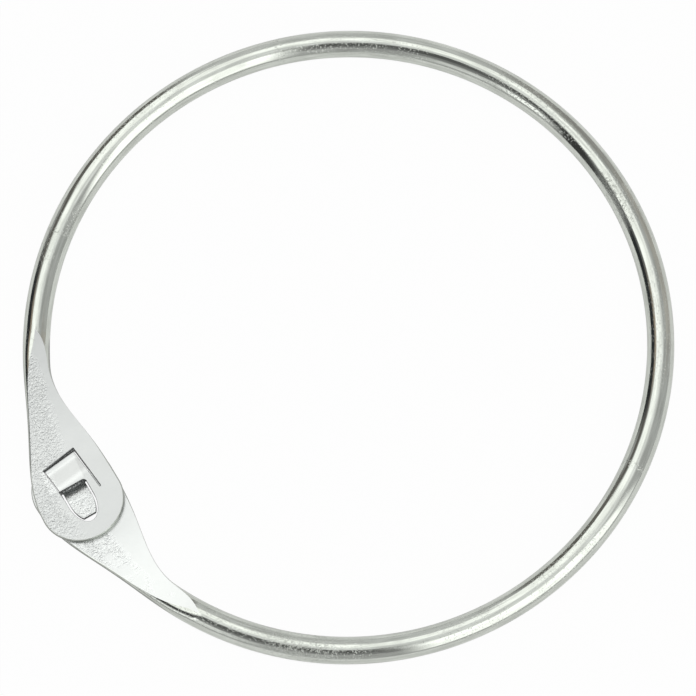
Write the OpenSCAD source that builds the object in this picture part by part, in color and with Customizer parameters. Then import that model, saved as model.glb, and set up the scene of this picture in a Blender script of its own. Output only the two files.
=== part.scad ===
// Snap key ring bent from one round wire. Both ends of the wire are coined into
// flat leaves that lap over each other. One leaf has a window and a pressed-down
// tongue, the other a raised tab and a slot, and the two ends catch in each other.
// Millimetres. The origin is the centre of the ring, in the middle plane of the
// wire. +Z stands off the side that shows the window, and the latch is at -Y.

/* [Ring] */
// Outer diameter of the ring over the round wire
ring_od = 76.2; // [50:0.1:120]
// Diameter of the wire
wire_d = 3.175; // [2.4:0.005:4.5]

/* [Coined leaves] */
// Full width of a leaf
leaf_w = 10; // [8.5:0.1:12]
// Thickness of a leaf where the two lap
leaf_t = 0.8; // [0.5:0.05:1]
// Gap between the two lapped leaves
leaf_gap = 0.06; // [0.04:0.01:0.2]
// How far the round tip of a leaf passes the middle of the latch
leaf_lap = 5.7; // [5.3:0.1:7]
// Length of the round tip
tip_l = 4.6; // [3.5:0.1:5]
// Way along the wire from the middle of the latch to the start of the flats
flat_len = 20.4; // [17:0.1:26]
// Way along the wire from the middle of the latch to where it starts to widen
spread_len = 16.2; // [12:0.1:16.8]
// Shift of a leaf towards the centre of the ring
lean_in = 0.3; // [0:0.05:0.8]
// How much straighter than the ring a leaf runs
straighten = 0.56; // [0:0.02:0.9]
// How far the rounding of a leaf's edge reaches in
edge_round = 0.15; // [0.08:0.01:0.3]
// Share by which the flats sit nearer the inner edge
flat_bias = 0.6; // [0:0.05:0.7]

/* [Window] */
// Width of the window
window_w = 3.3; // [2.6:0.05:3.5]
// Length of the window
window_l = 4.8; // [4.2:0.05:5.2]
// How far the square end of the window lies behind the middle of the latch
window_back = 1.13; // [0.9:0.01:1.3]
// Length of the window's rounded nose
window_nose = 2.75; // [1.5:0.05:3]
// Corner radius of the window's square end
window_corner = 0.45; // [0.2:0.05:0.8]

/* [Catch tab] */
// Clearance between the tab and the sides of the window
tab_play = 0.22; // [0.1:0.01:0.4]
// Clearance in front of the tab's free edge
tab_end_play = 0.64; // [0.3:0.02:1]
// Length of the ramp on which the tab rises
tab_ramp = 1.4; // [1.2:0.05:1.7]

/* [Tongue] */
// Width of the tongue
tongue_w = 4.12; // [3.6:0.02:4.4]
// How far the tongue's free edge lies behind the middle of the latch
tongue_edge = 4.45; // [4.1:0.05:4.6]
// Turn of the tongue against the leaf
tongue_skew = 6.5; // [0:0.5:8]
// Depth by which the tongue is pressed down
tongue_dip = 0.7; // [0.4:0.05:0.85]
// Length of the tongue's level end
tongue_land = 0.45; // [0.3:0.05:1]
// Length of the level stretch between the tongue's bend and the window
tongue_neck = 0.3; // [0.2:0.05:0.9]
// Gap before the tongue's free edge, at its wider end
tongue_gap = 0.25; // [0.1:0.05:0.4]
// Width of the slit along the tongue
slit_w = 0.2; // [0.1:0.01:0.3]
// Length of the slit on the tongue's inner side
slit_l = 5.25; // [4.6:0.05:5.6]
// Clearance round the tongue in the slot of the other leaf
slot_play = 0.15; // [0.1:0.01:0.25]

/* [Hidden] */

wire_r = wire_d / 2;
mid_r = ring_od / 2 - wire_r;
face_z = leaf_gap / 2;
leaf_top = face_z + leaf_t;

// How far back a leaf stays flat, so that the other leaf's tip lies on it with room
lap_room = 0.5;
lap_seat = leaf_lap + lap_room;
// Where a leaf is widest, and where its middle line lies there
widest_x = leaf_lap - tip_l;
tip_y = lean_in - mid_r;

// How fast the wire's rounding fades into the flat, and how late the flat leans in
edge_fade = 6.5;
bias_fade = 12;
// Smallest width of a flat, and the cone on which a leaf is rooted in the plain wire
flat_min = 0.02;
root_in = 1;
root_r = wire_r - 0.008;
root_tip_r = 0.6 * wire_r;

// Stations along a leaf's taper and round its tip, and steps round one edge
taper_steps = 30;
tip_steps = 10;
edge_steps = 12;
tip_end = 86;

// Room between the square end of the window and the tab's root
root_play = 0.1;
// Places of the window, tab and tongue along the leaf
window_end = window_l - window_back;
tab_end = window_end - tab_end_play;
tab_root = root_play - window_back;
neck_u = tongue_edge - window_back;
// Share of the tab's and the tongue's bend that each rounded end of it takes
tab_soft = 0.35;
tongue_soft = 0.2;
bend_end = neck_u - tongue_neck;
// The slot runs to where the tongue's underside has risen clear of the lower leaf
bend_left = sqrt(leaf_gap / tongue_dip * tongue_soft * (1 - tongue_soft));
slot_reach = bend_end - (bend_end - tongue_land) * bend_left;
// How far the outer slit runs on along the window, until it meets the window's side
slit_join = 1.05;
curve_steps = 14;
corner_steps = 6;
through = 4 * leaf_t;
// How far strips of sheet run on into the leaf that carries them
seat = 0.25;
tab_corner = 0.05;

// A ramp from 0 to 1 with soft ends
function ease(v) = (1 - cos(180 * min(1, max(0, v)))) / 2;

// A bend's height from 0 to 1: straight in the middle, with a parabola over the share k
// of it at each end
function bend(v, k) =
    let (d = 2 * k * (1 - k))
    v < k ? v * v / d : v > 1 - k ? 1 - pow(1 - v, 2) / d : (v - k / 2) / (1 - k);

// The slope of that height
function bend_slope(v, k) = min(v, 1 - v, k) / k / (1 - k);

// Share of the way from the wire (0) to the widest part of a leaf (1)
function along(s) = (spread_len + s) / (spread_len + widest_x);

// Share of the flat's run that is left at s: 1 where it starts, 0 at the latch
function fade(s) = min(1, max(0, -s / flat_len));

function half_w(s) = wire_r + (leaf_w / 2 - wire_r) * ease(along(s));

// Radial shift of a leaf's middle line, outward positive
function shift(s) =
    -lean_in * ease(along(s))
    - straighten * pow(sin(180 * min(1, max(0, along(s)))), 2);

// Share of the run over which a leaf's two faces close in on its flat part
function rise(s) = pow(max(0, -s - lap_seat) / (flat_len - lap_seat), 2);

function top_z(s) = leaf_top + (wire_r - leaf_top) * rise(s);

function under_z(s) = face_z - (wire_r + face_z) * rise(s);

function edge_in(s) = edge_round + (wire_r - edge_round) * pow(fade(s), edge_fade);

function bias(s) =
    flat_bias * (1 - pow(fade(s), bias_fade)) * ease((-s - widest_x) / lap_seat);

// A point on the ring's plan, s along the wire and off outward of its middle line
function on_ring(s, off) =
    let (a = s / mid_r * 180 / PI - 90)
    [(mid_r + off) * cos(a), (mid_r + off) * sin(a)];

// One edge of a leaf from top to bottom: an arc that bulges out of the flats.
// base is the widest point, out the outward direction, deep how far the arc reaches in
function edge_points(base, out, deep, high, low) =
    let (half = (high - low) / 2,
         bow = (half * half + deep * deep) / (2 * deep),
         sweep = atan2(half, bow - deep))
    [for (k = [0 : edge_steps])
        let (t = sweep * (1 - 2 * k / edge_steps),
             d = bow * cos(t) - bow)
        [base[0] + out[0] * d, base[1] + out[1] * d, (high + low) / 2 + bow * sin(t)]];

// One closed ring of points round a leaf: outer edge downward, inner edge upward
function ring_points(outer, inner) =
    concat(outer, [for (k = [edge_steps : -1 : 0]) inner[k]]);

// A station of the taper, where the wire spreads into the leaf
function taper_ring(s) =
    let (a = s / mid_r * 180 / PI - 90,
         out = [cos(a), sin(a)],
         w = half_w(s),
         deep = min(edge_in(s), w - flat_min))
    ring_points(
        edge_points(on_ring(s, shift(s) + w), out,
                    min(deep * (1 + bias(s)), w - flat_min), top_z(s), under_z(s)),
        edge_points(on_ring(s, shift(s) - w), -out,
                    deep * (1 - bias(s)), top_z(s), under_z(s)));

// A round station of the root, which lies inside the plain wire
function root_ring(s, r) =
    let (a = s / mid_r * 180 / PI - 90,
         out = [cos(a), sin(a)],
         deep = r - flat_min)
    ring_points(
        edge_points(on_ring(s, r), out, deep, r, -r),
        edge_points(on_ring(s, -r), -out, deep, r, -r));

// A station of the tip, an ellipse round its widest part
function tip_ring(q) =
    let (x = widest_x + tip_l * sin(q),
         h = leaf_w / 2 * cos(q),
         n = [leaf_w / 2 * sin(q), tip_l * cos(q)],
         out = n / norm(n))
    ring_points(
        edge_points([x, tip_y - h], [out[0], -out[1]], edge_round, leaf_top, face_z),
        edge_points([x, tip_y + h], out, edge_round, leaf_top, face_z));

// A leaf with its taper, lofted from the wire's round section to the flat tip
module leaf_blank() {
    rings = concat(
        [root_ring(-flat_len - root_in, root_tip_r), root_ring(-flat_len, root_r)],
        [for (k = [1 : taper_steps]) taper_ring(-flat_len * (1 - k / taper_steps))],
        [for (k = [0 : tip_steps]) tip_ring(tip_end * k / tip_steps)]);
    n = 2 * (edge_steps + 1);
    last = (len(rings) - 1) * n;
    polyhedron(
        points = [for (ring = rings, p = ring) p],
        faces = concat(
            [[for (k = [0 : n - 1]) k]],
            [for (j = [0 : len(rings) - 2], k = [0 : n - 1])
                [j * n + k, (j + 1) * n + k, j * n + (k + 1) % n]],
            [for (j = [0 : len(rings) - 2], k = [0 : n - 1])
                [j * n + (k + 1) % n, (j + 1) * n + k, (j + 1) * n + (k + 1) % n]],
            [for (k = [0 : edge_steps - 1])
                [last + k, last + n - 1 - k, last + k + 1]],
            [for (k = [0 : edge_steps - 1])
                [last + k + 1, last + n - 1 - k, last + n - 2 - k]]),
        convexity = 6);
}

// Half of the plain round wire, from +Y round to where a leaf starts
module half_wire() {
    rotate([0, 0, 90])
        rotate_extrude(angle = 180 - flat_len / mid_r * 180 / PI, $fn = 96)
            translate([mid_r, 0])
                circle(r = wire_r, $fn = 24);
}

// An arc of points round c, from angle a0 to a1, with half axes rx and ry
function arc(c, rx, ry, a0, a1, steps) =
    [for (k = [0 : steps])
        let (a = a0 + (a1 - a0) * k / steps)
        [c[0] + rx * cos(a), c[1] + ry * sin(a)]];

// Outline of the window, drawn in by play at the sides: square behind, round in front
module window_outline(play, back, corner) {
    h = window_w / 2 - play;
    nose = window_nose - play;
    front = window_end - window_nose;
    polygon(concat(
        arc([front, 0], nose, h, -90, 90, 2 * curve_steps),
        arc([back + corner, h - corner], corner, corner, 90, 180, corner_steps),
        arc([back + corner, corner - h], corner, corner, 180, 270, corner_steps)));
}

// Turns its children into the frame of the tongue: x runs from its free edge to its root
module tongue_frame() {
    translate([-tongue_edge, tip_y, 0])
        rotate([0, 0, tongue_skew])
            children();
}

// Plan of the tongue, grown by play at its free sides
module tongue_plan(play, reach) {
    h = tongue_w / 2 + play;
    translate([-play, -h])
        square([reach + play, 2 * h]);
}

// The gap before the tongue's free edge, which widens towards the ring's inner side
module free_gap() {
    h = tongue_w / 2;
    polygon([[0, -h - slit_w / 2], [0, h + slit_w], [-tongue_gap, h + slit_w],
             [-slit_w / 2, -h - slit_w / 2]]);
}

// A bent strip of sheet: its underside lies at 0 from x = a to x = run_a, rises over
// the run to x = run_b with the given softness, and goes on level to x = b
module bent_strip(a, b, rise, run_a, run_b, soft) {
    run = run_b - run_a;
    middle = [for (k = [0 : curve_steps])
        let (v = k / curve_steps,
             m = rise * bend_slope(v, soft) / run,
             n = [-m, 1] / norm([-m, 1]))
        [[run_a + run * v, rise * bend(v, soft)], n]];
    path = concat([[[a, 0], [0, 1]]], middle, [[[b, rise], [0, 1]]]);
    last = len(path) - 1;
    rotate([90, 0, 0])
        linear_extrude(height = leaf_w, center = true)
            translate([0, leaf_t / 2])
                polygon(concat(
                    [for (p = path) p[0] - p[1] * leaf_t / 2],
                    [for (k = [last : -1 : 0]) path[k][0] + path[k][1] * leaf_t / 2]));
}

// The leaf that lies on top, with the window and the pressed-down tongue
module window_leaf() {
    difference() {
        leaf_blank();
        translate([0, tip_y, face_z - leaf_t])
            linear_extrude(height = through)
                window_outline(0, -window_back, window_corner);
        tongue_frame()
            translate([0, 0, face_z - leaf_t])
                linear_extrude(height = through) {
                    tongue_plan(slit_w / 2, neck_u);
                    free_gap();
                    translate([0, tongue_w / 2])
                        square([slit_l, slit_w]);
                    translate([0, -(tongue_w + slit_w) / 2])
                        square([neck_u + slit_join, slit_w / 2]);
                }
    }
    difference() {
        intersection() {
            tongue_frame()
                translate([0, 0, face_z - tongue_dip])
                    bent_strip(0, neck_u + 2 * seat, tongue_dip, tongue_land, bend_end,
                               tongue_soft);
            tongue_frame()
                translate([0, 0, face_z - through])
                    linear_extrude(height = 2 * through)
                        tongue_plan(0, neck_u + seat);
        }
        translate([0, tip_y, -through])
            linear_extrude(height = 2 * through)
                window_outline(0, -window_back, window_corner);
    }
}

// The leaf that lies below, with the slot for the tongue and the raised tab
module tab_leaf() {
    difference() {
        rotate([0, 180, 0])
            leaf_blank();
        translate([0, tip_y, -face_z - 2 * leaf_t])
            linear_extrude(height = through)
                window_outline(0, tab_root, window_corner / 2);
        tongue_frame()
            translate([0, 0, -face_z - 2 * leaf_t])
                linear_extrude(height = through)
                    tongue_plan(slot_play, slot_reach + slot_play);
    }
    intersection() {
        translate([0, tip_y, -face_z - leaf_t])
            bent_strip(tab_root - seat, tab_end, leaf_t + leaf_gap,
                       tab_root, tab_root + tab_ramp, tab_soft);
        translate([0, tip_y, -through])
            linear_extrude(height = 2 * through)
                window_outline(tab_play, tab_root - seat, tab_corner);
    }
}

module key_ring() {
    color([0.78, 0.79, 0.8]) {
        half_wire();
        rotate([0, 180, 0])
            half_wire();
        window_leaf();
        tab_leaf();
    }
}

key_ring();
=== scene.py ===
"""Looks of a snap key ring: the bright round wire, its two coined leaves and their latch.

Sizes are in millimetres and meshes in metres. The frame is the solid model's own: the
centre of the ring at the origin, +Z off the side that shows the window, the latch at -Y.
"""

import logging
import math
from dataclasses import dataclass, field
from enum import Enum
from functools import reduce
from operator import or_

import bmesh
import bpy
import numpy as np
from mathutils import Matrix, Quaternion, Vector
from mathutils.geometry import delaunay_2d_cdt
from mathutils.kdtree import KDTree


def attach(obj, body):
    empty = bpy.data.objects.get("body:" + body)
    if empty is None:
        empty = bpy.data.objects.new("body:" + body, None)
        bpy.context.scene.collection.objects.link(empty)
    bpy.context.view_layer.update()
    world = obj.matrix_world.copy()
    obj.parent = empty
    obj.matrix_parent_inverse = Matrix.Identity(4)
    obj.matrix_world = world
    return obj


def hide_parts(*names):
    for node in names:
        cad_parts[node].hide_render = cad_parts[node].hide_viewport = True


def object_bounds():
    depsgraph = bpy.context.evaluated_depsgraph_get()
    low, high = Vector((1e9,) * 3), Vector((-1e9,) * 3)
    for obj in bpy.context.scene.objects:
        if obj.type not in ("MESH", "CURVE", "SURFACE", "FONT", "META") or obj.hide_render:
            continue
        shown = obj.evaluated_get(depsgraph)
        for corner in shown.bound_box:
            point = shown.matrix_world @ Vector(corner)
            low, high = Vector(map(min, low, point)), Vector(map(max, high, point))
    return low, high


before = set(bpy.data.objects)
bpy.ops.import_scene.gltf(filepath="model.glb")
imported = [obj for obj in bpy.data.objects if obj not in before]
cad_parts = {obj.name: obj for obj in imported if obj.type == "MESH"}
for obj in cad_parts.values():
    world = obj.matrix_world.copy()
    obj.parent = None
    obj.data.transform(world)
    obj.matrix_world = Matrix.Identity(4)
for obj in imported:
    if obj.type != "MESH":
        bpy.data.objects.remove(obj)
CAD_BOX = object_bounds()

log = logging.getLogger("key_ring")

MM = 0.001
NODE = "key_ring"

Point = tuple[float, float]
Place = tuple[float, float, float]
Colour = tuple[float, float, float]

WHITE: Colour = (1.0, 1.0, 1.0)


class Side(Enum):
    """The two leaves: which one a blank becomes."""

    WINDOW = "window"
    TAB = "tab"


class Finish(Enum):
    """The finishes on the ring, in the order of its material slots."""

    WIRE = 0
    WINDOW_FACE = 1
    TAB_FACE = 2
    CUT = 3


@dataclass(frozen=True)
class Sizes:
    """The ring's sizes, as in the solid model, and two that are the visual model's own.

    Those two are edge_steps, the steps round an edge, and plating, how far the wire and
    the leaves stay inside the solid.
    """

    ring_od: float = 76.2
    wire_d: float = 3.175
    leaf_w: float = 10.0
    leaf_t: float = 0.8
    leaf_gap: float = 0.06
    leaf_lap: float = 5.7
    tip_l: float = 4.6
    flat_len: float = 20.4
    spread_len: float = 16.2
    lean_in: float = 0.3
    straighten: float = 0.56
    edge_round: float = 0.15
    flat_bias: float = 0.6
    edge_fade: float = 6.5
    bias_fade: float = 12.0
    window_w: float = 3.3
    window_l: float = 4.8
    window_back: float = 1.13
    window_nose: float = 2.75
    window_corner: float = 0.45
    tab_play: float = 0.22
    tab_end_play: float = 0.64
    tab_ramp: float = 1.4
    tongue_w: float = 4.12
    tongue_edge: float = 4.45
    tongue_skew: float = 6.5
    tongue_dip: float = 0.7
    tongue_land: float = 0.45
    tongue_neck: float = 0.3
    tongue_gap: float = 0.25
    slit_w: float = 0.2
    slit_l: float = 5.25
    slot_play: float = 0.15
    lap_room: float = 0.5
    root_play: float = 0.1
    tab_soft: float = 0.35
    tongue_soft: float = 0.2
    edge_steps: int = 24
    plating: float = 0.0015

    @property
    def wire_r(self) -> float:
        """Radius of the wire, a hair inside the solid's box."""
        return self.wire_d / 2 - self.plating

    @property
    def half_leaf(self) -> float:
        """Half a leaf's greatest width, a hair inside the solid's box."""
        return self.leaf_w / 2 - self.plating

    @property
    def mid_r(self) -> float:
        """Radius of the ring on the wire's middle line."""
        return (self.ring_od - self.wire_d) / 2

    @property
    def face_z(self) -> float:
        """Height of a leaf's face on the other leaf."""
        return self.leaf_gap / 2

    @property
    def lap_seat(self) -> float:
        """Way from the middle of the latch over which a leaf stays flat."""
        return self.leaf_lap + self.lap_room

    @property
    def widest_x(self) -> float:
        """Where a leaf is widest."""
        return self.leaf_lap - self.tip_l

    @property
    def tip_y(self) -> float:
        """Height of a leaf's middle line over the ring's centre."""
        return self.lean_in - self.mid_r

    @property
    def sides(self) -> int:
        """Number of points round the wire, so that a leaf's loft ends on the same ones."""
        return 2 * (self.edge_steps + 1)

    @property
    def window_end(self) -> float:
        """Front of the window's nose."""
        return self.window_l - self.window_back

    @property
    def tab_root(self) -> float:
        """Where the tab bends out of its leaf."""
        return self.root_play - self.window_back

    @property
    def bend_end(self) -> float:
        """Where the tongue's bend is level with its leaf again."""
        return self.tongue_edge - self.window_back - self.tongue_neck

    @property
    def slot_reach(self) -> float:
        """How far the slot runs under the rising tongue."""
        left = math.sqrt(
            self.leaf_gap / self.tongue_dip * self.tongue_soft * (1 - self.tongue_soft)
        )
        return self.bend_end - (self.bend_end - self.tongue_land) * left


def clamp(v: float) -> float:
    """Keeps a share between 0 and 1."""
    return min(1.0, max(0.0, v))


def ease(v: float) -> float:
    """A ramp from 0 to 1 with soft ends."""
    return (1 - math.cos(math.pi * clamp(v))) / 2


def put(name: str, data: bpy.types.ID) -> bpy.types.Object:
    """Adds an object that shows a mesh or a camera, at the origin."""
    made = bpy.data.objects.new(name, data)
    bpy.context.scene.collection.objects.link(made)
    return made


@dataclass
class Heap:
    """Points and faces of one closed mesh, in millimetres.

    Args:
        points: the places of the points.
        faces: the corners of each face.
        finishes: the finish of each face.
        crisp: pairs of points whose edge stays sharp in the shading.
        rims: how far a point belongs to a leaf's outermost edge, 0 to 1, by its number; the
            painted shade along a leaf's outline follows it.
    """

    points: list[Place] = field(default_factory=list)
    faces: list[tuple[int, ...]] = field(default_factory=list)
    finishes: list[Finish] = field(default_factory=list)
    crisp: set[frozenset[int]] = field(default_factory=set)
    rims: dict[int, float] = field(default_factory=dict)

    def add(self, points: list[Place]) -> list[int]:
        """Adds points.

        Args:
            points: their places.

        Returns:
            Their numbers.
        """
        first = len(self.points)
        self.points.extend(points)
        return list(range(first, len(self.points)))

    def face(self, corners: tuple[int, ...], finish: Finish) -> None:
        """Adds one face, leaving out corners that coincide.

        Args:
            corners: the numbers of its points, in order.
            finish: its finish.
        """
        kept = tuple(c for i, c in enumerate(corners) if c != corners[i - 1])
        if len(kept) > 2:
            self.faces.append(kept)
            self.finishes.append(finish)

    def strip(self, one: list[int], two: list[int], finish: Finish, loop: bool) -> None:
        """Joins two rows of points with quads.

        Args:
            one: the first row.
            two: the second row, as long as the first.
            finish: the finish of the quads.
            loop: whether the rows are closed.
        """
        for k in range(len(one) if loop else len(one) - 1):
            n = (k + 1) % len(one)
            self.face((one[k], two[k], two[n], one[n]), finish)

    def mark_rim(self, row: list[int], wide: float = 0.16, most: float = 1.1) -> None:
        """Marks the outermost points of one row over a leaf's edge, for the painted shade along
        the outline.

        Args:
            row: the points from the upper face to the lower one.
            wide: how far in from the widest point the mark reaches, in plan.
            most: depth of an edge at which it fades out, as at the wire.
        """
        tip = self.points[row[len(row) // 2]][:2]
        deep = math.dist(self.points[row[0]][:2], tip)
        share = clamp((most - deep) / (most / 2))
        for i in row:
            back = math.dist(self.points[i][:2], tip)
            self.rims[i] = share * clamp(1 - back / min(wide, deep))

    def crease(self, row: list[int], loop: bool) -> None:
        """Keeps the edges along a row of points sharp.

        Args:
            row: the points.
            loop: whether the row is closed.
        """
        for k in range(len(row) if loop else len(row) - 1):
            self.crisp.add(frozenset((row[k], row[(k + 1) % len(row)])))


@dataclass(frozen=True)
class Bend:
    """A strip of sheet that is bent out of its leaf, about an axis across u.

    Args:
        origin: plan place where u is 0.
        turn: direction of u in degrees.
        half: half width of the strip.
        outline: its plan in u and v, a little wider than the strip.
        run: where the bend starts and ends along u.
        base: height of the strip before the bend.
        lift: height that the bend adds.
        soft: share of the bend that each rounded end takes.
        steps: number of steps over the bend.
        pad: how far before and after the bend the strip has one more line across it.
    """

    origin: Point
    turn: float
    half: float
    outline: list[Point]
    run: Point
    base: float
    lift: float
    soft: float
    steps: int = 16
    pad: float = 0.025

    def to_plan(self, u: float, v: float) -> Point:
        """Turns a place along and across the strip into a plan place."""
        c, s = math.cos(math.radians(self.turn)), math.sin(math.radians(self.turn))
        return self.origin[0] + u * c - v * s, self.origin[1] + u * s + v * c

    def from_plan(self, x: float, y: float) -> Point:
        """Turns a plan place into a place along and across the strip."""
        c, s = math.cos(math.radians(self.turn)), math.sin(math.radians(self.turn))
        dx, dy = x - self.origin[0], y - self.origin[1]
        return dx * c + dy * s, dy * c - dx * s

    def stops(self) -> list[float]:
        """The places along u where the strip needs a line across it."""
        a, b = self.run
        bent = [a + (b - a) * k / self.steps for k in range(self.steps + 1)]
        return [a - self.pad] + bent + [b + self.pad]

    def carries(self, x: float, y: float) -> bool:
        """Whether the strip holds a plan place."""
        return inside(*self.from_plan(x, y), self.outline)

    def place(self, x: float, y: float, t: float) -> Place:
        """Bends one point of the strip.

        Args:
            x: plan place.
            y: plan place.
            t: height over the sheet's middle plane.

        Returns:
            The plan place and the height over the sheet's middle plane, bent.
        """
        u, v = self.from_plan(x, y)
        k, run = self.soft, self.run[1] - self.run[0]
        w = clamp((u - self.run[0]) / run)
        whole = 2 * k * (1 - k)
        if w < k:
            high = w * w / whole
        elif w > 1 - k:
            high = 1 - (1 - w) ** 2 / whole
        else:
            high = (w - k / 2) / (1 - k)
        slope = self.lift / run * min(w, 1 - w, k) / k / (1 - k)
        size = math.hypot(1, slope)
        px, py = self.to_plan(u - slope / size * t, v)
        return px, py, self.base + self.lift * high + t / size


def arc(mid: Point, rx: float, ry: float, a0: float, a1: float, steps: int) -> list[Point]:
    """Points on an arc of an ellipse.

    Args:
        mid: its centre.
        rx: its half axis along x.
        ry: its half axis along y.
        a0: its first angle in degrees.
        a1: its last angle in degrees.
        steps: number of steps between them.

    Returns:
        The points, both ends included.
    """
    angles = [math.radians(a0 + (a1 - a0) * k / steps) for k in range(steps + 1)]
    return [(mid[0] + rx * math.cos(a), mid[1] + ry * math.sin(a)) for a in angles]


def softened(corners: list[Place], steps: int = 5) -> list[Point]:
    """Rounds the corners of a closed outline.

    Args:
        corners: each corner's x, y and radius, which is 0 for a point that stays.
        steps: number of steps round a corner.

    Returns:
        The outline.
    """
    made: list[Point] = []
    count = len(corners)
    for i, (x, y, r) in enumerate(corners):
        here = Vector((x, y))
        if r == 0:
            made.append((x, y))
            continue
        back = (Vector(corners[i - 1][:2]) - here).normalized()
        on = (Vector(corners[(i + 1) % count][:2]) - here).normalized()
        half = back.angle(on) / 2
        mid = here + (back + on).normalized() * (r / math.sin(half))
        start, stop = here + back * r / math.tan(half), here + on * r / math.tan(half)
        a0 = math.atan2(start.y - mid.y, start.x - mid.x)
        turn = math.atan2(stop.y - mid.y, stop.x - mid.x) - a0
        turn = (turn + math.pi) % (2 * math.pi) - math.pi
        angles = [a0 + turn * k / steps for k in range(steps + 1)]
        made += [(mid.x + r * math.cos(a), mid.y + r * math.sin(a)) for a in angles]
    return made


def pointed(outline: list[Point]) -> list[Place]:
    """Points of an outline for softened(), each one to stay as it is."""
    return [(x, y, 0.0) for x, y in outline]


def grown(outline: list[Point], by: float) -> list[Point]:
    """Moves a closed outline outwards.

    Args:
        outline: the outline, in either direction.
        by: the distance.

    Returns:
        As many points, moved along their mitres.
    """
    pts = np.array(outline)
    nxt, prv = np.roll(pts, -1, 0), np.roll(pts, 1, 0)
    area = float(np.sum(pts[:, 0] * nxt[:, 1] - nxt[:, 0] * pts[:, 1]))
    on, back = nxt - pts, pts - prv
    on /= np.linalg.norm(on, axis=1)[:, None]
    back /= np.linalg.norm(back, axis=1)[:, None]
    sign = 1.0 if area > 0 else -1.0
    normals = [np.stack([d[:, 1], -d[:, 0]], 1) * sign for d in (on, back)]
    both = normals[0] + normals[1]
    both /= (np.sum(both * both, 1) / 2)[:, None]
    return [(float(p[0]), float(p[1])) for p in pts + both * by]


def inside(x: float, y: float, outline: list[Point]) -> bool:
    """Whether a plan place lies in a closed outline.

    Args:
        x: the place.
        y: the place.
        outline: the outline, in either direction.

    Returns:
        Whether it does.
    """
    hit = False
    for (ax, ay), (bx, by) in zip(outline, outline[1:] + outline[:1]):
        if (ay > y) != (by > y) and x < (bx - ax) * (y - ay) / (by - ay) + ax:
            hit = not hit
    return hit


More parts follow.
